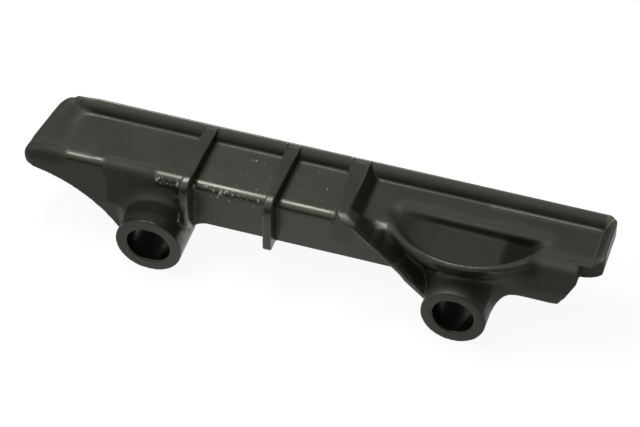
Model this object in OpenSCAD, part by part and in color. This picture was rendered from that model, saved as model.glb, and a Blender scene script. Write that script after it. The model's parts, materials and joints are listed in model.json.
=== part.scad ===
// Timing chain guide: one moulded rail of L section that hangs from two pin bosses.
// X runs along the rail, Y from front to rear along the pin bores, Z up.
// The origin is on the axis of the round bore, level with the web's front face.

/* [Rail] */
// Reach of the plate to the right of the round bore
right_reach = 32.9; // [30.5:0.1:45]
// Reach of the front left tip to the left of the round bore
left_reach = 113.3; // [100:0.1:130]
// Distance that the rear left corner sits in from the front left tip
end_skew = 4.2; // [0:0.1:9]
// Depth of the plate from the web's front face to its rear edge
plate_depth = 18.5; // [15:0.1:26]
// Thickness of the plate that the chain runs under
plate_t = 4; // [3.8:0.1:5]
// Height of the plate's top face above the bore axes
top_rise = 15.1; // [13:0.1:20]
// Radius of the rounded edge where the top face turns into the web
edge_r = 2.3; // [0.8:0.1:2.8]
// Radius of the rear corners in plan
corner_r = 2.4; // [0.5:0.1:4]
// Radius of the edges at the left tip
tip_r = 2; // [0.5:0.1:2.1]
// Radius of the upper edge of the skewed left end
end_r = 3.2; // [1:0.1:3.6]
// Length of the lead-in under the right end
lead_len = 5.7; // [3:0.1:6.4]
// Radius of the lead-in under both ends
lead_r = 8; // [7.5:0.5:14]

/* [Lip] */
// Height of the lip above the top face
lip_h = 3; // [1.5:0.1:5]
// Width of the rear lip at its foot
lip_t = 2.6; // [1.8:0.1:3.4]
// Width at its foot of the lip across the right end
end_lip_t = 2.5; // [1.6:0.1:3.5]
// Width of the flat along the lip's top
lip_edge = 0.3; // [0.2:0.1:0.8]
// Radius of the lip's crowned inner side
lip_crown_r = 6; // [4:0.5:12]
// Radius of the fillet at the foot of the lip
lip_fillet = 0.8; // [0.4:0.1:1.6]
// Length over which the top face climbs to the lip at the left end
ramp_len = 11; // [6:0.5:18]

/* [Web] */
// Height of the web from the top face to its lower edge
web_h = 12.6; // [10:0.1:14.5]
// Thickness of the web
web_t = 2.9; // [2.2:0.1:4]
// Reach of the web to the right of the round bore
web_reach = 27.4; // [24:0.1:29.5]
// Run of the slanted cut at the web's lower right corner
web_cut = 4; // [0:0.1:6]
// Height of the web at the left tip
tip_h = 6; // [4.5:0.1:8]
// Radius of the concave sweep from the left tip to the slotted boss
sweep_r = 35; // [28:0.5:45]

/* [Bosses] */
// Distance from the round bore to the slotted bore
pin_pitch = 77; // [72:0.1:84]
// Diameter of the pin bores
pin_bore = 10; // [7:0.1:11]
// Extra length of the slotted bore along the rail
slot_extra = 1; // [0.4:0.1:2]
// Outside diameter of the bosses
boss_d = 16.2; // [14:0.1:19]
// Extra length of the slotted boss along the rail
boss_extra = 0.7; // [0:0.1:2]
// Distance that the bosses stand out in front of the web
boss_out = 9; // [6.5:0.1:12]
// Radius of the flare at the foot of each boss
flare_r = 4.5; // [2:0.1:5.5]
// Radius of the fillet from the round boss to the web's right foot
foot_r = 6.5; // [4:0.1:7.5]
// Chamfer at the mouth of each bore
mouth_chamfer = 0.2; // [0.1:0.1:0.8]

/* [Ribs] */
// Distance of the first rib to the right of the slotted boss
rib_first = 7.5; // [5:0.1:9]
// Distance from the first rib to the second
rib_pitch = 21.2; // [15:0.1:24]
// Width of a rib where it meets the lip
rib_w_rear = 3.4; // [2.4:0.1:4.5]
// Width of a rib at its front face
rib_w_front = 2.1; // [1.4:0.1:3]
// Distance that the ribs stand out in front of the web
rib_out = 4.3; // [2.5:0.1:6]
// Radius of the ribs' front top corner
rib_top_r = 4; // [1.5:0.1:5]
// Radius of the ribs' front lower corner
rib_low_r = 1.2; // [0.5:0.1:2.4]

/* [Brace] */
// Distance of the brace's upper left edge to the left of the round bore, at the front
brace_start = 32.3; // [30:0.1:36]
// Width of the brace's flat top at the front
brace_w = 3.4; // [2.4:0.1:5]
// Extra width of the brace's flat top at the rear
brace_flare = 1.2; // [0:0.1:2]
// Spread of the brace's sloped right side at its foot
brace_spread = 2.6; // [1:0.1:4]
// Distance of the brace's bend to the left of the round bore
brace_bend = 26.5; // [25:0.1:28]
// Drop from the brace's top to its bend
brace_drop = 2.7; // [2:0.1:3.6]
// Width along the rail of the slanted strip below the bend
strip_w = 2.2; // [1.6:0.1:3.4]
// Spread of the strip's upper side at the web
strip_spread = 1.6; // [0.4:0.1:2.4]
// Slope of the strip as it runs down to the round boss, in degrees
strip_slope = 43; // [40:0.5:46]

/* [Bulge] */
// Distance of the bulge's middle to the left of the round bore
bulge_shift = 1.3; // [0:0.1:2.5]
// Distance that the bulge stands out in front of the web at its top
bulge_out = 7; // [4:0.1:8]
// Width of the bulge along the web's front face
bulge_w = 37; // [30:0.5:39]
// Bevel of the bulge's rim
bulge_rim = 0.7; // [0.3:0.1:1]
// Thickness of the rim between the bulge's front and the pocket
pocket_rim = 1.4; // [1:0.1:3]
// Width of the pocket along its straight rear side
pocket_w = 39; // [34:0.2:41]
// Distance of the pocket's straight rear side behind the web's front face
pocket_rear = 7.7; // [5:0.1:10]
// Depth of the pocket at the left end of its floor
pocket_left = 2; // [1:0.1:2.6]
// Depth of the pocket at the right end of its floor
pocket_right = 2.8; // [1:0.1:2.8]
// Run of the pocket's sloped left side
pocket_left_run = 6.8; // [2:0.1:9]
// Run of the pocket's sloped right side
pocket_right_run = 4; // [2:0.1:8]

/* [Hidden] */
$fn = 96;
// Overlap that carries a cut clear of the faces it opens
clear = 1;
// Small overlap that lets one rounded form run into another
sink = 0.15;
// Smaller overlap, for an arc that runs out on a flat face
run_out = 0.015;
top_z = top_rise;
under_z = top_z - plate_t;
foot_z = top_z - web_h;
lip_z = top_z + lip_h;
boss_r = boss_d / 2;
flare_foot_r = boss_r + flare_r;
slot_x = -pin_pitch;
rib_x = [slot_x + rib_first, slot_x + rib_first + rib_pitch];
rib_1_right = rib_x[0] + rib_w_front / 2;

// The sweep's circle passes through the foot of the tip and touches the slotted boss's flare
tip_foot = [-left_reach, top_z - tip_h];
tip_to_boss = [slot_x, 0] - tip_foot;
tip_gap = norm(tip_to_boss);
sweep_along = (sweep_r ^ 2 - (sweep_r + flare_foot_r - sink) ^ 2 + tip_gap ^ 2) / (2 * tip_gap);
sweep_across = sqrt(sweep_r ^ 2 - sweep_along ^ 2);
sweep_axis = tip_to_boss / tip_gap;
sweep_centre = tip_foot + sweep_along * sweep_axis + sweep_across * [sweep_axis[1], -sweep_axis[0]];
sweep_out = (tip_foot - sweep_centre) / sweep_r;
sweep_start = [sweep_out[1], -sweep_out[0]];
touch_angle = atan2(sweep_centre[1], sweep_centre[0] - slot_x);
chin_angle = touch_angle + 360 + acos((boss_r - sink) / flare_foot_r);

// Direction of the skewed left end, from front to rear
end_side = [end_skew, plate_depth] / norm([end_skew, plate_depth]);

// Corners of the brace's strip in X and Z: its bend, and its lower left end inside the round boss
bend = [-brace_bend, lip_z - brace_drop];
strip_low = -boss_r / 4;
strip_end = [bend[0] + (bend[1] - strip_low) / tan(strip_slope), strip_low];

// Circles of the bulge's front edge and of the pocket, in plan
bulge_r = ((bulge_w / 2) ^ 2 + bulge_out ^ 2) / (2 * bulge_out);
bulge_lean = bulge_out / web_h;
pocket_sag = pocket_rear + bulge_out - pocket_rim;
pocket_r = ((pocket_w / 2) ^ 2 + pocket_sag ^ 2) / (2 * pocket_sag);

// Lays an outline drawn in X and Z upright, from y_from to y_to
module upright(y_from, y_to) {
    translate([0, y_to, 0])
        rotate([90, 0, 0])
            linear_extrude(y_to - y_from)
                children();
}

// Runs a section drawn in Y and Z along the rail, from x_from to x_to
module along(x_from, x_to) {
    translate([x_from, 0, 0])
        rotate([90, 0, 90])
            linear_extrude(x_to - x_from)
                children();
}

// Waste outside a quarter circle whose square corner is at the origin, towards -x and -y
module corner_waste(r) {
    difference() {
        translate([-r, -r])
            square([r + clear, r + clear]);
        translate([-r, -r])
            circle(r);
    }
}

// Waste outside a circle that rounds the corner at p between two sides given as unit vectors
module round_off(p, side_a, side_b, r) {
    half = acos(side_a * side_b) / 2;
    middle = (side_a + side_b) / norm(side_a + side_b);
    centre = p + middle * r / sin(half);
    touch_a = p + side_a * r / tan(half);
    touch_b = p + side_b * r / tan(half);
    difference() {
        polygon([
            centre,
            touch_a,
            touch_a + clear * (side_a * cos(2 * half) - side_b),
            p - 2 * clear * middle,
            touch_b + clear * (side_b * cos(2 * half) - side_a),
            touch_b
        ]);
        translate(centre)
            circle(r);
    }
}

// Outline of the plate in plan, with its skewed left end and the step past the web's right end
module plate_plan() {
    difference() {
        polygon([
            [-left_reach, 0],
            [web_reach, 0],
            [web_reach, web_t],
            [right_reach, web_t],
            [right_reach, plate_depth],
            [end_skew - left_reach, plate_depth]
        ]);
        round_off([right_reach, plate_depth], [-1, 0], [0, -1], corner_r);
        round_off([end_skew - left_reach, plate_depth], [1, 0], -end_side, corner_r);
        round_off([-left_reach, 0], [1, 0], end_side, tip_r);
    }
}

// Section of the space beside a lip, from y_from to the lip's outer side: fillet, crowned side and, above and
// below, some spare height
module lip_space(y_from, y_outer, t, spare) {
    crest = [y_outer - lip_edge, lip_z];
    foot = [y_outer - t, top_z + lip_fillet / 2];
    chord = crest - foot;
    crown_out = sqrt(lip_crown_r ^ 2 - (norm(chord) / 2) ^ 2);
    crown = (crest + foot) / 2 + crown_out * [chord[1], -chord[0]] / norm(chord);
    fillet_z = top_z + lip_fillet - run_out;
    fillet_y = crown[0] - sqrt((lip_crown_r + lip_fillet - run_out) ^ 2 - (fillet_z - crown[1]) ^ 2);
    fillet = [fillet_y, fillet_z];
    inside = fillet + (lip_fillet + sink) * (crown - fillet) / norm(crown - fillet);
    difference() {
        translate([y_from, top_z - spare])
            square([y_outer - lip_edge / 2 - y_from, lip_h + clear + 2 * spare]);
        translate(crown)
            circle(lip_crown_r);
        difference() {
            polygon([fillet, [fillet_y, top_z - 2 * clear], [y_outer, top_z - 2 * clear], inside]);
            translate(fillet)
                circle(lip_fillet);
        }
    }
}

// Wedge that carries the top face up to the lip at the left end
module end_ramp() {
    rear_left = end_skew - left_reach;
    fold = [rear_left + ramp_len, plate_depth] - [-left_reach, 0];
    fold_angle = atan2(fold[1], fold[0]);
    rear_gap = ramp_len * sin(fold_angle);
    intersection() {
        translate([0, 0, under_z])
            linear_extrude(plate_t + lip_h)
                plate_plan();
        translate([-left_reach, 0, top_z])
            rotate([0, 0, fold_angle])
                rotate([atan2(lip_h, rear_gap), 0, 0])
                    translate([-left_reach, 0, -plate_t])
                        cube([2 * left_reach, ramp_len + plate_depth, plate_t]);
    }
}

// Waste under an end of the plate that curves up to let the chain in, with the end's edge at x = 0
module lead_in(reach) {
    upright(-plate_depth, 2 * plate_depth)
        difference() {
            translate([-reach, under_z - clear])
                square([reach + clear, lead_r + clear]);
            translate([-reach, under_z + lead_r - run_out])
                circle(lead_r);
        }
}

// Waste outside the rounded upper edge of the skewed left end, which climbs to the lip
module end_edge() {
    side = norm([end_skew, plate_depth]);
    fall = atan2(lip_h, ramp_len);
    translate([-left_reach, 0, top_z])
        rotate([0, 0, -atan2(end_skew, plate_depth)])
            rotate([atan2(lip_h, side), 0, 0])
                upright(-plate_depth, 2 * plate_depth)
                    round_off([0, 0], [cos(fall), -sin(fall)], [0, -1], end_r);
}

// Waste outside the rounded edge where the top face turns into the web
module front_edge() {
    along(-left_reach - clear, web_reach + clear)
        translate([0, top_z])
            mirror([1, 0])
                corner_waste(edge_r);
}

// Plate with the lips along its rear edge and across its right end left standing round the top face
module tray() {
    difference() {
        translate([0, 0, under_z])
            linear_extrude(plate_t + lip_h)
                plate_plan();
        intersection() {
            along(-left_reach - clear, right_reach + clear)
                lip_space(-clear, plate_depth, lip_t, 0);
            translate([right_reach, plate_depth + clear, 0])
                rotate([90, 0, 0])
                    linear_extrude(plate_depth + 2 * clear)
                        lip_space(-left_reach - right_reach - clear, 0, end_lip_t, clear);
        }
    }
}

// Plate with its ramp, rounded along its front edge and led in at both ends
module plate() {
    difference() {
        union() {
            tray();
            end_ramp();
        }
        front_edge();
        along(right_reach - 3 * end_lip_t, right_reach + clear)
            translate([web_t, lip_z])
                mirror([1, 0])
                    corner_waste(end_lip_t / 2);
        translate([right_reach, 0, 0])
            lead_in(lead_len);
        translate([-left_reach, 0, 0])
            rotate([0, 0, -atan2(end_skew, plate_depth)])
                mirror([1, 0, 0])
                    lead_in(lead_len - tip_r);
    }
}

// Fillet of radius r from the boss at x to the web's lower edge, to its right or left by side = 1 or -1
module foot_fillet(x, side, r) {
    centre_z = foot_z - r;
    reach = sqrt((boss_r + r - sink) ^ 2 - centre_z ^ 2);
    difference() {
        polygon([[x, 0], [x, under_z], [x + side * reach, under_z], [x + side * reach, centre_z]]);
        translate([x + side * reach, centre_z])
            circle(r);
    }
}

// Outline of the web seen from the front: straight foot, left sweep and the two boss feet
module web_outline() {
    difference() {
        union() {
            polygon([
                [-left_reach, top_z],
                [web_reach, top_z],
                [web_reach, under_z],
                [web_reach - web_cut, foot_z],
                [-left_reach, foot_z]
            ]);
            polygon([
                [slot_x - 2 * flare_foot_r, foot_z + clear],
                [slot_x - 2 * flare_foot_r, -flare_foot_r],
                [slot_x, 0] + flare_foot_r * [cos(touch_angle), sin(touch_angle)],
                [slot_x, 0] + (boss_r - sink) * [cos(chin_angle), sin(chin_angle)],
                [slot_x, foot_z + clear]
            ]);
        }
        translate(sweep_centre)
            circle(sweep_r, $fn = 180);
        round_off(tip_foot, [0, 1], sweep_start, tip_r);
    }
    foot_fillet(slot_x, 1, flare_r);
    foot_fillet(0, -1, flare_r);
    foot_fillet(0, 1, foot_r);
}

// Web with the rounded edge along its top, trimmed to the plate's plan at the left tip
module web() {
    difference() {
        intersection() {
            upright(0, web_t)
                web_outline();
            translate([0, 0, -boss_d])
                linear_extrude(boss_d + lip_z)
                    plate_plan();
        }
        front_edge();
    }
}

// Boss at x, lengthened along the rail by extra
module boss(x, extra) {
    for (shift = extra > 0 ? [-extra / 2, extra / 2] : [0])
        translate([x + shift, web_t, 0])
            rotate([90, 0, 0])
                cylinder(h = boss_out + web_t, d = boss_d);
    if (extra > 0)
        translate([x - extra / 2, -boss_out, -boss_r])
            cube([extra, boss_out + web_t, boss_d]);
}

// Concave flare round a boss's foot, only in front of the web
module flare(x, x_limit) {
    intersection() {
        translate([x, sink, 0])
            rotate([90, 0, 0])
                rotate_extrude()
                    difference() {
                        square([flare_foot_r, flare_r]);
                        translate([flare_foot_r, flare_r])
                            circle(flare_r);
                    }
        upright(-boss_out, web_t)
            intersection() {
                web_outline();
                translate([x - 2 * flare_foot_r, -2 * flare_foot_r])
                    square([x_limit - x + 2 * flare_foot_r, 4 * flare_foot_r]);
            }
    }
}

// Outline of a rib seen from the end of the rail, hollowed to the plate and web behind it
module rib_side() {
    difference() {
        translate([-rib_out, foot_z])
            square([rib_out + plate_depth - lip_edge / 2, web_h + lip_h]);
        translate([-rib_out, lip_z])
            mirror([1, 0])
                corner_waste(rib_top_r);
        translate([-rib_out, foot_z])
            mirror([1, 0])
                mirror([0, 1])
                    corner_waste(rib_low_r);
        translate([web_t / 2, foot_z - clear])
            square([plate_depth, web_h - plate_t / 2 + clear]);
    }
}

// Rib that crosses the top face at x and runs down the web, wider at the rear
module cross_rib(x) {
    intersection() {
        along(x - rib_w_rear, x + rib_w_rear)
            rib_side();
        translate([x, 0, foot_z - clear])
            linear_extrude(web_h + lip_h + 2 * clear)
                polygon([
                    [-rib_w_front / 2, -rib_out],
                    [rib_w_front / 2, -rib_out],
                    [rib_w_rear / 2, plate_depth],
                    [-rib_w_rear / 2, plate_depth]
                ]);
    }
}

// Front of the brace in X and Z: its top, its bend and the strip that slants to the round boss
module brace_front() {
    shoulder_rise = 2 / 3 * brace_drop;
    polygon([
        [-brace_start, lip_z],
        [brace_w - brace_start, lip_z],
        bend + [strip_w - shoulder_rise / tan(strip_slope), shoulder_rise],
        strip_end + [strip_w, 0],
        strip_end,
        bend
    ]);
}

// Sloped upper side of the strip, from the round boss up to the top face
module strip_side() {
    translate([strip_end[0] + strip_w, 0, strip_end[1]])
        rotate([0, strip_slope - 90, 0])
            linear_extrude((top_z - strip_spread - strip_end[1]) / sin(strip_slope))
                polygon([
                    [-strip_w / 2, -rib_out],
                    [0, -rib_out],
                    [strip_spread, 0],
                    [strip_spread, web_t / 2],
                    [-strip_w / 2, web_t / 2]
                ]);
}

// Part of the brace on the top face: flat top wider at the rear, sloped right side
module brace_top() {
    rear_start = brace_start + brace_flare;
    foot_x = brace_w + brace_spread - brace_start;
    intersection() {
        upright(-rib_out, plate_depth)
            polygon([
                [-rear_start, under_z],
                [-rear_start, lip_z],
                [brace_w - brace_start, lip_z],
                [foot_x, top_z],
                [foot_x, under_z]
            ]);
        translate([0, 0, under_z])
            linear_extrude(plate_t + lip_h)
                polygon([
                    [-brace_start, 0],
                    [foot_x, 0],
                    [foot_x, plate_depth],
                    [-rear_start, plate_depth]
                ]);
    }
}

// Thick third rib that crosses the top face and turns into a slanted brace down to the round boss
module brace() {
    intersection() {
        along(-brace_start - brace_flare - clear, 0)
            union() {
                rib_side();
                translate([-rib_out, -boss_r])
                    square([rib_out + web_t / 2, foot_z + boss_r + rib_low_r]);
            }
        union() {
            brace_top();
            upright(-rib_out, web_t / 2)
                brace_front();
            strip_side();
        }
    }
}

// Rounded bulge in front of the web above the round boss, tapering back to the web's foot
module bulge() {
    rim_r = bulge_r - bulge_lean * bulge_rim;
    intersection() {
        translate([-bulge_shift, bulge_r - bulge_out, foot_z]) {
            cylinder(h = web_h - bulge_rim, r1 = bulge_r - bulge_out, r2 = rim_r, $fn = 180);
            translate([0, 0, web_h - bulge_rim])
                cylinder(h = bulge_rim, r1 = rim_r, r2 = rim_r - bulge_rim, $fn = 180);
        }
        translate([-web_reach, -bulge_out - clear, foot_z - clear])
            cube([2 * web_reach, bulge_out + clear + web_t / 2, web_h + 2 * clear]);
    }
}

// D-shaped pocket in the top face behind the bulge's rim, with sloped ends and a falling floor
module pocket() {
    half = pocket_w / 2;
    translate([-bulge_shift, 0, 0])
        intersection() {
            translate([0, pocket_r + pocket_rim - bulge_out, under_z])
                cylinder(
                    h = plate_t + lip_h,
                    r1 = pocket_r - bulge_lean * plate_t,
                    r2 = pocket_r + bulge_lean * lip_h,
                    $fn = 180
                );
            upright(-bulge_out - clear, pocket_rear)
                polygon([
                    [-half, lip_z],
                    [-half, top_z],
                    [pocket_left_run - half, top_z - pocket_left],
                    [half - pocket_right_run, top_z - pocket_right],
                    [half, top_z],
                    [half, lip_z]
                ]);
        }
}

// Pin bore at x, lengthened along the rail by extra, with a chamfered mouth at the boss's front
module pin_hole(x, extra) {
    bore_r = pin_bore / 2;
    for (shift = extra > 0 ? [-extra / 2, extra / 2] : [0])
        translate([x + shift, 0, 0])
            rotate([90, 0, 0]) {
                translate([0, 0, -web_t - clear])
                    cylinder(h = boss_out + web_t + 2 * clear, r = bore_r);
                translate([0, 0, boss_out - mouth_chamfer])
                    cylinder(h = mouth_chamfer + clear, r1 = bore_r, r2 = bore_r + mouth_chamfer + clear);
            }
    if (extra > 0)
        translate([x - extra / 2, -boss_out - clear, -bore_r])
            cube([extra, boss_out + web_t + 2 * clear, pin_bore]);
}

module guide_rail() {
    color([0.16, 0.16, 0.13])
        difference() {
            union() {
                plate();
                web();
                bulge();
                for (x = rib_x)
                    cross_rib(x);
                brace();
                boss(slot_x, boss_extra);
                boss(0, 0);
                flare(slot_x, rib_1_right);
                flare(0, web_reach);
            }
            pocket();
            end_edge();
            pin_hole(slot_x, slot_extra);
            pin_hole(0, 0);
        }
}

guide_rail();
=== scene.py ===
import json
import math

import bmesh
import bpy
import numpy as np
from mathutils import Matrix, Vector, noise
from mathutils.bvhtree import BVHTree
from mathutils.kdtree import KDTree


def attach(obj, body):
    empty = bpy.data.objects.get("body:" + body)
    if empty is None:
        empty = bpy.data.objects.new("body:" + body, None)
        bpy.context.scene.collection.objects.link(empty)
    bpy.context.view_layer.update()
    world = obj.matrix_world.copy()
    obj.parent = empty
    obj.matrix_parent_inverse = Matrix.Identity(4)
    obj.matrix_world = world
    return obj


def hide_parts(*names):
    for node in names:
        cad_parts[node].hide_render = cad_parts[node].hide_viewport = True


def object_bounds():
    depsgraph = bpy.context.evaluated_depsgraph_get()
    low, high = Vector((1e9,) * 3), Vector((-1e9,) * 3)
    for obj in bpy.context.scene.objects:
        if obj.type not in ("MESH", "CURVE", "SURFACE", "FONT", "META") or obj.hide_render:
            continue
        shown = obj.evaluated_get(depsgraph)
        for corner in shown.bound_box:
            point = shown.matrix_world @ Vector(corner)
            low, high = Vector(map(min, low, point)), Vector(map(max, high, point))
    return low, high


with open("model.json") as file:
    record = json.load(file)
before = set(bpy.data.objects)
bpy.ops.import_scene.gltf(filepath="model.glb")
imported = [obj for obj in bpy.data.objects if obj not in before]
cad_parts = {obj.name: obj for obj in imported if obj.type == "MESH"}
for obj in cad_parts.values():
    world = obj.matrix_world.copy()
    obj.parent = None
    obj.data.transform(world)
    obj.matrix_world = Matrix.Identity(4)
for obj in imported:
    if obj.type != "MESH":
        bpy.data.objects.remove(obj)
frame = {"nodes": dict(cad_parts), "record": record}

cadLow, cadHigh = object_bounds()
scene = bpy.context.scene
scene.view_settings.view_transform = 'Standard'
mm = 0.001
print("frame loaded")


# camera at the photograph's angle: turned right of the rail's front, looking down, slightly rolled
cameraSet = {
    "azimuth": 16.618,
    "elevation": 45.656,
    "roll": 1.0,
    "focalPixels": 3300.0,
    "imageWidth": 640,
    "sensorWidth": 36,
    "clip": (0.01, 50),
    "distance": 788.1 * mm,
    "aside": 31.632 * mm,
    "above": -24.88 * mm,
    "aimedAt": (0, -9 * mm, 0),
}


def makeCamera():
    azimuth = math.radians(cameraSet["azimuth"])
    elevation = math.radians(cameraSet["elevation"])
    roll = math.radians(cameraSet["roll"])
    flatRight = Vector((math.cos(azimuth), math.sin(azimuth), 0))
    forward = Vector((
        -math.sin(azimuth) * math.cos(elevation),
        math.cos(azimuth) * math.cos(elevation),
        -math.sin(elevation),
    ))
    flatUp = flatRight.cross(forward)
    right = flatRight * math.cos(roll) + flatUp * math.sin(roll)
    up = flatUp * math.cos(roll) - flatRight * math.sin(roll)
    place = Vector(cameraSet["aimedAt"])
    place -= right * cameraSet["aside"] + up * cameraSet["above"] + forward * cameraSet["distance"]
    lens = bpy.data.cameras.new("photoCamera")
    lens.sensor_width = cameraSet["sensorWidth"]
    lens.lens = cameraSet["focalPixels"] * lens.sensor_width / cameraSet["imageWidth"]
    lens.clip_start, lens.clip_end = cameraSet["clip"]
    camera = bpy.data.objects.new("photoCamera", lens)
    turn = Matrix((right, up, -forward)).transposed()
    camera.matrix_world = Matrix.Translation(place) @ turn.to_4x4()
    scene.collection.objects.link(camera)
    scene.camera = camera


makeCamera()
print("camera set")


# node helpers used by every material
def addNode(tree, kind, **values):
    node = tree.nodes.new(kind)
    for name, value in values.items():
        setattr(node, name, value)
    return node


def newMaterial(name):
    material = bpy.data.materials.new(name)
    material.use_nodes = True
    material.node_tree.nodes.clear()
    return material


# pale floor under the bosses, white to the camera; what it mirrors into the rail fades along the rail
floorSet = {
    "size": 6.0,
    "below": 0.02 * mm,  # gap under the bosses
    "colour": (0.9, 0.9, 0.9, 1),
    "whiteShare": 0.92,
    "poolMiddle": -45 * mm,
    "poolReach": 62 * mm,
    "poolLevel": (0.56, 1.0),  # far from the pool's middle, and in it
}


def makeFloor():
    half = floorSet["size"] / 2
    z = cadLow[2] - floorSet["below"]
    mesh = bpy.data.meshes.new("floor")
    corners = [(-half, -half, z), (half, -half, z), (half, half, z), (-half, half, z)]
    mesh.from_pydata(corners, [], [(0, 1, 2, 3)])
    floor = bpy.data.objects.new("floor", mesh)
    scene.collection.objects.link(floor)

    material = newMaterial("paleFloor")
    tree = material.node_tree
    link = tree.links.new
    out = addNode(tree, "ShaderNodeOutputMaterial")
    matte = addNode(tree, "ShaderNodeBsdfDiffuse")
    matte.inputs["Color"].default_value = floorSet["colour"]
    white = addNode(tree, "ShaderNodeEmission")
    path = addNode(tree, "ShaderNodeLightPath")
    mirrored = addNode(tree, "ShaderNodeMath", operation='MAXIMUM')
    seen = addNode(tree, "ShaderNodeMath", operation='MAXIMUM')
    share = addNode(tree, "ShaderNodeMath", operation='MULTIPLY')
    share.inputs[1].default_value = floorSet["whiteShare"]
    mix = addNode(tree, "ShaderNodeMixShader")
    link(path.outputs["Is Glossy Ray"], mirrored.inputs[0])
    link(path.outputs["Is Transmission Ray"], mirrored.inputs[1])
    link(path.outputs["Is Camera Ray"], seen.inputs[0])
    link(mirrored.outputs[0], seen.inputs[1])
    link(seen.outputs[0], share.inputs[0])

    place = addNode(tree, "ShaderNodeTexCoord")
    axes = addNode(tree, "ShaderNodeSeparateXYZ")
    away = addNode(tree, "ShaderNodeMath", operation='SUBTRACT')
    away.inputs[1].default_value = floorSet["poolMiddle"]
    far = addNode(tree, "ShaderNodeMath", operation='ABSOLUTE')
    pool = addNode(tree, "ShaderNodeMapRange", interpolation_type='SMOOTHSTEP')
    pool.inputs["From Min"].default_value = floorSet["poolReach"]
    pool.inputs["From Max"].default_value = 0
    pool.inputs["To Min"].default_value, pool.inputs["To Max"].default_value = floorSet["poolLevel"]
    level = addNode(tree, "ShaderNodeMath", operation='MAXIMUM')
    link(place.outputs["Object"], axes.inputs[0])
    link(axes.outputs["X"], away.inputs[0])
    link(away.outputs[0], far.inputs[0])
    link(far.outputs[0], pool.inputs["Value"])
    link(pool.outputs["Result"], level.inputs[0])
    link(path.outputs["Is Camera Ray"], level.inputs[1])
    link(level.outputs[0], white.inputs["Strength"])

    link(share.outputs[0], mix.inputs[0])
    link(matte.outputs[0], mix.inputs[1])
    link(white.outputs[0], mix.inputs[2])
    link(mix.outputs[0], out.inputs["Surface"])
    mesh.materials.append(material)


makeFloor()


# soft box overhead, and a white room that is brightest above the camera and dark round it
lightSet = {
    "boxPlace": (-0.213, 0.071, 0.587),
    "boxAim": (-0.045, 0.0, 0.015),
    "boxSize": (0.30, 0.12),
    "boxWatts": 2.3,
    "roomLevel": 1.9,
    # share of the room's level at angles up from the rear, over the rail, down to the front
    "roomStops": [
        (0, 0.19), (25, 0.27), (47, 0.43), (65, 0.55), (95, 0.86),
        (115, 1.0), (132, 0.9), (148, 0.4), (164, 0.02),
    ],
    "sideRange": (-0.45, 0.4),  # x of the direction over which the room dims
    "sideLevel": 0.15,
}


def makeLights():
    lamp = bpy.data.lights.new("softBox", 'AREA')
    lamp.shape = 'RECTANGLE'
    lamp.size, lamp.size_y = lightSet["boxSize"]
    lamp.energy = lightSet["boxWatts"]
    box = bpy.data.objects.new("softBox", lamp)
    box.location = lightSet["boxPlace"]
    aim = Vector(lightSet["boxAim"]) - Vector(lightSet["boxPlace"])
    box.rotation_euler = aim.to_track_quat('-Z', 'Y').to_euler()
    scene.collection.objects.link(box)

    world = bpy.data.worlds.new("room")
    world.use_nodes = True
    tree = world.node_tree
    tree.nodes.clear()
    link = tree.links.new
    out = addNode(tree, "ShaderNodeOutputWorld")
    glow = addNode(tree, "ShaderNodeBackground")
    glow.inputs["Strength"].default_value = lightSet["roomLevel"]
    place = addNode(tree, "ShaderNodeTexCoord")
    axes = addNode(tree, "ShaderNodeSeparateXYZ")
    angle = addNode(tree, "ShaderNodeMath", operation='ARCTAN2')
    half = addNode(tree, "ShaderNodeMath", operation='DIVIDE')
    half.inputs[1].default_value = math.pi
    room = addNode(tree, "ShaderNodeValToRGB")
    room.color_ramp.interpolation = 'B_SPLINE'
    stops = room.color_ramp.elements
    while len(stops) < len(lightSet["roomStops"]):
        stops.new(0.5)
    for stop, (degrees, level) in zip(stops, lightSet["roomStops"]):
        stop.position = degrees / 180
        stop.color = (level, level, level, 1)
    side = addNode(tree, "ShaderNodeMapRange")
    side.inputs["From Min"].default_value, side.inputs["From Max"].default_value = lightSet["sideRange"]
    side.inputs["To Min"].default_value = 1
    side.inputs["To Max"].default_value = lightSet["sideLevel"]
    both = addNode(tree, "ShaderNodeMath", operation='MULTIPLY')
    link(place.outputs["Generated"], axes.inputs[0])
    link(axes.outputs["Z"], angle.inputs[0])
    link(axes.outputs["Y"], angle.inputs[1])
    link(angle.outputs[0], half.inputs[0])
    link(half.outputs[0], room.inputs["Fac"])
    link(axes.outputs["X"], side.inputs["Value"])
    link(room.outputs["Color"], both.inputs[0])
    link(side.outputs["Result"], both.inputs[1])
    link(both.outputs[0], glow.inputs["Color"])
    link(glow.outputs[0], out.inputs["Surface"])
    scene.world = world


makeLights()
print("floor and lights set")


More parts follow.
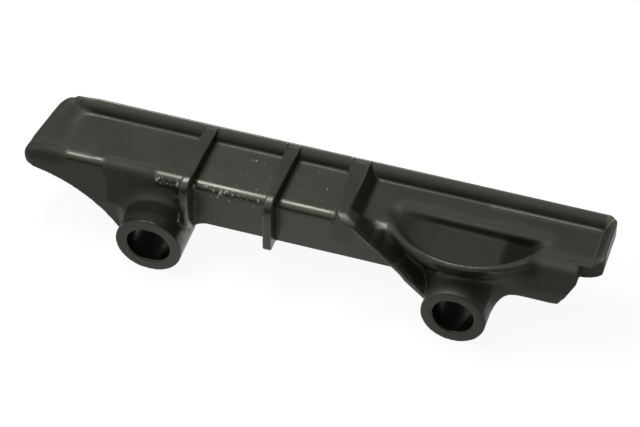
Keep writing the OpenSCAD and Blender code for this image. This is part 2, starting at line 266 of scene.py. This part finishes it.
# moulded rail: the solid on an even grid, with its edges and corners rounded as a mould leaves them
railSet = {
    "mergeWithin": 0.002 * mm,
    "voxel": 0.27 * mm,
    "triangles": 194000,
    "stepShare": 0.5,  # how far one step of softening moves a point to its neighbours' mean
    "stepsPerVoxel": 4,  # steps of that share that spread a point by about one voxel
    "edgeLength": 0.19 * mm,  # about the radius of every outer edge
    "edgeStart": 0.03,  # how far a point stands out, in voxels, before it is rounded
    "edgeSpan": 0.9,  # in voxels, the reach over which that is measured
    "markSpan": 0.5 * mm,  # the same reach for the pale edges and dull hollows
    "waveHeight": 0.02 * mm,
    "waveLength": 11 * mm,
    # the ribs' and the brace's tops sink a little before they meet the lip's crest; places in mm
    "ribSpans": [(-71.05, -67.95), (-49.85, -46.75), (-33.3, -29)],  # x of each top
    "ribFade": 0.12,  # on both sides of a top
    "ribStart": (5, 15),  # y where the sinking starts, and where it is full
    "ribEnd": (18.1, 17.5),  # y where it ends, and where it is still full
    "ribHeight": (16.2, 18),  # z where it starts, and where it is full
    "ribSink": 0.5 * mm,
    # low and high corner of each zone, the distance over which it fades, and its rounding, all in mm
    "zones": [
        ((-110.5, 3, 13), (-96, 13.5, 16.6), 2.5, 1.0),  # ramp at the left end
        ((-113, 13, 14), (-104, 18.5, 18.5), 6, 0.9),  # where the lip rises out of the ramp
        ((-113, 15.5, 15), (-108.5, 18.5, 18.5), 2.5, 1.2),  # start of the lip
        ((-113.5, -1, 10), (-111, 4, 16), 2, 1.1),  # tip of the left end
        ((22, -1, 1.5), (25, 3.5, 4), 1.5, 0.8),  # lower right corner of the web
        ((-90, -7, 2), (-74, 0.5, 10.5), 1.5, 0.9),  # flare of the slotted boss
        ((-73, -6, 3), (-68.5, 0, 9), 1, 0.45),  # foot of rib 1 on that flare
        ((-33, -2, 10), (-27, 5, 18), 1.5, 0.45),  # bend of the brace
        ((-31, 3, 14.6), (-25, 15, 16.5), 1, 0.6),  # foot of the brace on the top face
        ((-28, -4, 9.5), (-18.5, 2, 16), 1.5, 1.0),  # short edge between the brace and the bulge
        ((-24, -7.5, 5), (-9.5, 0.5, 10.5), 1.5, 0.75),  # brace and the valley beside it
        ((-20, -6, 11.8), (-12, 8, 16), 2.5, 0.9),  # left end of the pocket
        ((-19, 5.6, 11.5), (19, 10, 15.8), 1.5, 0.7),  # rear wall of the pocket
        ((-6, -8, 1), (20, -0.5, 12.5), 2, 0.8),  # front of the bulge and the round boss's flare
        ((17, -1.5, 13), (25.5, 3.5, 16), 2, 1.2),  # front edge right of the pocket
    ],
    # corners and fade of the places that are dull, and how dull
    "dullZones": [
        ((-113, -1.5, 12), (-102, 2.5, 16), 1.5, 1.0),  # front edge at the left end
        ((-114, 6, 12), (-105, 15, 17), 5, 1.0),  # ramp at the left end
        ((-91, -1.5, 12), (-79, 2.5, 16), 1.5, 1.0),  # front edge left of the slotted boss
        ((-90, -7, 3), (-74, 0, 11), 1.5, 1.0),  # flare of the slotted boss
        ((-33, -3, 8), (-28, 1, 17), 1.5, 0.5),  # bend of the brace
        ((-24.5, -3, 10.5), (-20, 0.3, 14.1), 0.7, 1.0),  # below the short edge beside it
        ((-19.2, -2.5, 12.5), (-17, 2.2, 15.6), 1.2, 1.0),  # right end of that edge
        ((-17, -8, 10), (-9, 9, 16), 4, 1.0),  # left end of the bulge's rim and the pocket
        ((-9, -2.5, 10), (17, 9, 16), 3, 1.0),  # pocket behind the rim's middle
        ((11, -8, 10), (17, 9, 16), 4, 1.0),  # right end of the bulge's rim
        ((-8, -8.3, 4), (10, -3, 9), 1, 0.8),  # top of the round boss
        ((15, -4, 8), (33, 3.5, 16), 4, 1.0),  # front edge right of the pocket
    ],
    "plainShine": 0.5,  # specular level where no zone changes it
    # corners and fade of the places that shine less, and the share of the shine that is lost
    "dimZones": [
        ((-114, -1, 12), (-104, 18.5, 18), 3, 0.25),  # left end
        ((-110, -1, 3), (-84, 1, 12), 2, 0.2),  # web left of the slotted boss
        ((-84, -7.8, 5), (-71, -3.2, 10), 1.2, 0.65),  # top of the slotted boss
        ((-86, -5.4, 4), (-72.2, -2.6, 11), 1.2, 0.9),  # foot of its flare
        ((-84, -8.8, 5.5), (-70, -7.5, 9.5), 0.2, 0.5),  # upper edge of its ring
        ((-30, -5, 6), (-20, -1.6, 12), 0.7, 0.65),  # front of the brace
        ((-21, -3.4, 8.5), (-15, 0.5, 11), 0.6, 0.85),  # valley beside it
        ((-15, -3.4, 2), (-9, 0.5, 11), 0.7, 0.25),  # its lower end
        ((-24.5, -3, 10.5), (-20, 0.3, 14.1), 0.7, 0.85),  # below the short edge beside the brace
        ((-17, -4, 12), (12, 9, 13.7), 0.7, 0.3),  # floor of the pocket
        ((-17, -2, 12), (-9, 9, 13.8), 2, 0.45),  # its left end
        ((9.5, 1, 11.8), (16.5, 8, 12.7), 3, 0.95),  # its right end
    ],
    # corners and fade of the places that shine more, and the share of the shine that is gained
    "brightZones": [
        ((-67, 1, 14.9), (-34, 14, 15.3), 3, 0.3),  # top face between the ribs
        ((-71, -6, -1), (-68, -2, 13), 0.4, 0.6),  # front of rib 1
        ((-17, -4.6, -4), (-8, -3.3, 8), 0.4, 0.8),  # lower front of the brace
        ((-5, -8, 5), (7, -4, 9), 1, 0.6),  # top of the round boss
        ((-3, -8, 13.6), (7, -5, 15.2), 1.5, 0.5),  # middle of the bulge's rim
        ((2, 14.6, 15), (29, 16.4, 16), 0.4, 0.7),  # foot of the lip
        ((30.5, 4, 16), (33, 18.5, 18.2), 0.8, 1.0),  # lip at the right end
    ],
    # corners and fade of the scuffed places, and how scuffed
    "scuffZones": [
        ((-78, -0.6, 13.2), (-50, 1.2, 15.6), 2.4, 1.0),  # front corner between the slotted boss and rib 2
        ((-66, 3, 14), (-36, 12, 16), 6, 0.5),  # top face round rib 2
    ],
    "boreShadeReach": 5.7 * mm,  # from a bore's axis, within which the plastic is painted dark as the shade inside the bore
    "boreShadeFade": 0.3 * mm,
}


# points moved towards the mean of their neighbours, where the weight says so
def soften(points, ends, weight, length):
    steps = max(1, round(railSet["stepsPerVoxel"] * (length / railSet["voxel"]) ** 2))
    touched = (weight[ends] > 0).any(axis=1)
    near, local = np.unique(ends[touched], return_inverse=True)
    local = local.reshape(-1, 2)
    count = np.bincount(local.ravel(), minlength=len(near))[:, None]
    part = points[near]
    share = railSet["stepShare"] * weight[near, None]
    for step in range(steps):
        total = np.empty_like(part)
        for axis in range(3):
            total[:, axis] = np.bincount(local[:, 0], part[local[:, 1], axis], len(near))
            total[:, axis] += np.bincount(local[:, 1], part[local[:, 0], axis], len(near))
        part = part + share * (total / count - part)
    result = points.copy()
    result[near] = part
    return result


# smooth share from 0 at the start to 1 at the end
def rise(values, start, end):
    share = np.clip((values - start) / (end - start), 0, 1)
    return share * share * (3 - 2 * share)


# 1 inside a zone's box, fading to 0 round it
def zoneWeight(points, low, high, fade):
    outside = np.maximum(np.array(low) * mm - points, points - np.array(high) * mm)
    away = np.linalg.norm(np.maximum(outside, 0), axis=1)
    return rise(away, fade * mm, 0)


def sinkRibs(points):
    x, y, z = points.T / mm
    along = rise(y, *railSet["ribStart"]) * rise(y, *railSet["ribEnd"]) * rise(z, *railSet["ribHeight"])
    fade = railSet["ribFade"]
    sunk = points.copy()
    for low, high in railSet["ribSpans"]:
        across = rise(x, low - fade, low) * rise(x, high + fade, high)
        sunk[:, 2] -= railSet["ribSink"] * along * across
    return sunk


def mostOf(points, zones):
    weight = np.zeros(len(points))
    for low, high, fade, share in zones:
        weight = np.maximum(weight, share * zoneWeight(points, low, high, fade))
    return weight


def readVectors(items, name):
    values = np.empty(len(items) * 3)
    items.foreach_get(name, values)
    return values.reshape(-1, 3)


# puts the points into the mesh and gives its new normals
def setPoints(mesh, points):
    mesh.vertices.foreach_set("co", points.ravel())
    mesh.update()
    return readVectors(mesh.vertices, "normal")


# how far each point stands out of the softened surface, in voxels
def standOut(points, ends, normals, length):
    flat = soften(points, ends, np.ones(len(points)), length)
    return np.einsum("ij,ij->i", points - flat, normals) / railSet["voxel"]


# the owner's mesh after one modifier
def applied(owner, kind, **values):
    modifier = owner.modifiers.new("step", kind)
    for name, value in values.items():
        setattr(modifier, name, value)
    depsgraph = bpy.context.evaluated_depsgraph_get()
    made = bpy.data.meshes.new_from_object(owner.evaluated_get(depsgraph))
    owner.modifiers.clear()
    owner.data = made
    return made


# painted shade: 1 within reach of each bore's axis, fading to 0 round it; the colour is darkened there in
# place of the bores' shade
def paintedBoreShade(points):
    bores = [mount["pos_m"] for mount in frame["record"]["mounts"] if mount["name"].endswith("_bore")]
    depth = np.zeros(len(points))
    for x, y, z in bores:
        away = np.hypot(points[:, 0] - x, points[:, 2] - z)
        depth = np.maximum(depth, np.clip((railSet["boreShadeReach"] - away) / railSet["boreShadeFade"], 0, 1))
    return depth


def makeRail():
    mesh = frame["nodes"]["guide_rail"].data.copy()
    work = bmesh.new()
    work.from_mesh(mesh)
    bmesh.ops.remove_doubles(work, verts=work.verts, dist=railSet["mergeWithin"])
    work.to_mesh(mesh)
    skin = BVHTree.FromBMesh(work)
    work.free()
    mesh.materials.clear()
    rail = bpy.data.objects.new("guideRail", mesh)
    scene.collection.objects.link(rail)
    made = applied(rail, 'REMESH', mode='VOXEL', voxel_size=railSet["voxel"])
    ends = np.empty(len(made.edges) * 2, dtype=np.int32)
    made.edges.foreach_get("vertices", ends)
    ends = ends.reshape(-1, 2)

    # back onto the solid, then round what stands out, and more of it zone by zone
    points = sinkRibs(np.array([skin.find_nearest(v.co)[0] for v in made.vertices]))
    normals = setPoints(made, points)
    proud = standOut(points, ends, normals, railSet["edgeSpan"] * railSet["voxel"])
    points = soften(points, ends, np.clip(proud / railSet["edgeStart"] - 1, 0, 1), railSet["edgeLength"])
    for low, high, fade, length in railSet["zones"]:
        points = soften(points, ends, zoneWeight(points, low, high, fade), length * mm)
    print("rail rounded")

    # faint waves, which break up the long reflections
    normals = setPoints(made, points)
    for i, (point, normal) in enumerate(zip(points, normals)):
        wave = noise.noise(Vector(point) / railSet["waveLength"])
        points[i] = point + normal * wave * railSet["waveHeight"]
    points = np.clip(points, cadLow, cadHigh)
    normals = setPoints(made, points)
    proud = standOut(points, ends, normals, railSet["markSpan"])

    # fewer triangles on the flats, with the fine grid's normals and marks carried over
    grid = KDTree(len(points))
    for i, point in enumerate(points):
        grid.insert(point, i)
    grid.balance()
    made.calc_loop_triangles()
    made = applied(rail, 'DECIMATE', ratio=min(1, railSet["triangles"] / len(made.loop_triangles)))
    made.name = "guideRail"
    nearest = np.array([grid.find(v.co)[1] for v in made.vertices])
    made.shade_smooth()
    made.normals_split_custom_set_from_vertices(normals[nearest])
    points = readVectors(made.vertices, "co")
    shine = 1 - mostOf(points, railSet["dimZones"]) + mostOf(points, railSet["brightZones"])
    marks = {
        "proud": proud[nearest],
        "dull": mostOf(points, railSet["dullZones"]),
        "scuff": mostOf(points, railSet["scuffZones"]),
        # bore marks where the shade inside the bores is painted
        "bore": paintedBoreShade(points),
        "shine": railSet["plainShine"] * shine,
    }
    for name, values in marks.items():
        made.attributes.new(name, 'FLOAT', 'POINT').data.foreach_set("value", values)
    print("rail triangles", sum(len(p.vertices) - 2 for p in made.polygons))
    return rail


rail = makeRail()


# black plastic with an olive cast: satin skin, dull patches, pale scuffs along the corners, painted shade
# inside the bores
plasticSet = {
    "colour": (0.0095, 0.0098, 0.0064, 1),
    "paleColour": (0.0130, 0.0133, 0.0090, 1),
    "edgeColour": (0.034, 0.034, 0.028, 1),
    "scuffColour": (0.22, 0.22, 0.205, 1),
    # painted shade: near-black colour for the inside of the bores
    "boreShadeColour": (0.002, 0.002, 0.0013, 1),
    "shineTint": (1.0, 1.02, 0.87, 1),
    "roughness": (0.25, 0.33),
    "dullRoughness": 0.4,  # added where the skin is dull
    "hollowRange": (-0.05, -0.5),  # how far a corner lies in, from clean to dull
    "mottleSize": 9 * mm,
    "mottleDetail": 4,
    "mottleRange": (0.3, 0.7),  # of the mottle, over which the roughness changes
    "grainSize": 0.24 * mm,
    "grainDetail": 2,
    "grainHeight": 0.006 * mm,
    "edgeRange": (0.3, 0.9),  # how far an edge stands out, from plain to pale
    "scratchSize": (0.7 * mm, 1.2 * mm, 1.2 * mm),
    "scratchDetail": 4,
    "scratchRange": (0.78, 0.88),
    "scuffShare": 0.22,  # how far a scuffed place lowers that range
}


def makePlastic():
    material = newMaterial("mouldedPlastic")
    tree = material.node_tree
    link = tree.links.new
    out = addNode(tree, "ShaderNodeOutputMaterial")
    skin = addNode(tree, "ShaderNodeBsdfPrincipled")
    skin.inputs["Specular Tint"].default_value = plasticSet["shineTint"]
    place = addNode(tree, "ShaderNodeTexCoord")

    def mark(name):
        return addNode(tree, "ShaderNodeAttribute", attribute_name=name).outputs["Fac"]

    def ramp(value, start, end, low=0, high=1):
        node = addNode(tree, "ShaderNodeMapRange", interpolation_type='SMOOTHSTEP')
        node.inputs["From Min"].default_value = start
        node.inputs["From Max"].default_value = end
        node.inputs["To Min"].default_value = low
        node.inputs["To Max"].default_value = high
        link(value, node.inputs["Value"])
        return node.outputs["Result"]

    def combine(operation, first, second):
        node = addNode(tree, "ShaderNodeMath", operation=operation)
        link(first, node.inputs[0])
        if isinstance(second, float):
            node.inputs[1].default_value = second
        else:
            link(second, node.inputs[1])
        return node.outputs[0]

    def blend(share, first, second):
        node = addNode(tree, "ShaderNodeMix", data_type='RGBA')
        link(share, node.inputs["Factor"])
        if isinstance(first, tuple):
            node.inputs["A"].default_value = first
        else:
            link(first, node.inputs["A"])
        node.inputs["B"].default_value = second
        return node.outputs["Result"]

    def cloud(size, detail):
        node = addNode(tree, "ShaderNodeTexNoise")
        node.inputs["Scale"].default_value = 1
        node.inputs["Detail"].default_value = detail
        turned = addNode(tree, "ShaderNodeMapping")
        turned.inputs["Scale"].default_value = [1 / length for length in size]
        link(place.outputs["Object"], turned.inputs["Vector"])
        link(turned.outputs["Vector"], node.inputs["Vector"])
        return node.outputs["Fac"]

    mottle = cloud([plasticSet["mottleSize"]] * 3, plasticSet["mottleDetail"])
    grain = cloud([plasticSet["grainSize"]] * 3, plasticSet["grainDetail"])
    flecks = cloud(plasticSet["scratchSize"], plasticSet["scratchDetail"])
    scuffs = combine('MULTIPLY', mark("scuff"), plasticSet["scuffShare"])
    scuffed = ramp(combine('ADD', flecks, scuffs), *plasticSet["scratchRange"])
    edge = combine('MULTIPLY', ramp(mark("proud"), *plasticSet["edgeRange"]), mottle)

    colour = blend(mottle, plasticSet["colour"], plasticSet["paleColour"])
    colour = blend(edge, colour, plasticSet["edgeColour"])
    colour = blend(scuffed, colour, plasticSet["scuffColour"])
    # painted shade: the inside of the bores darkened
    colour = blend(mark("bore"), colour, plasticSet["boreShadeColour"])
    link(colour, skin.inputs["Base Color"])

    hollow = ramp(mark("proud"), *plasticSet["hollowRange"])
    dull = combine('MAXIMUM', combine('MAXIMUM', mark("dull"), hollow), scuffed)
    gloss = ramp(mottle, *plasticSet["mottleRange"], *plasticSet["roughness"])
    gloss = combine('ADD', gloss, combine('MULTIPLY', dull, plasticSet["dullRoughness"]))
    link(gloss, skin.inputs["Roughness"])
    link(mark("shine"), skin.inputs["Specular IOR Level"])  # for renders; a linked specular level is lost when the scene is exported

    bump = addNode(tree, "ShaderNodeBump")
    bump.inputs["Distance"].default_value = plasticSet["grainHeight"]
    link(grain, bump.inputs["Height"])
    link(bump.outputs["Normal"], skin.inputs["Normal"])
    link(skin.outputs[0], out.inputs["Surface"])
    return material


rail.data.materials.append(makePlastic())
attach(rail, "root")
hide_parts("guide_rail")
print("rail dressed")
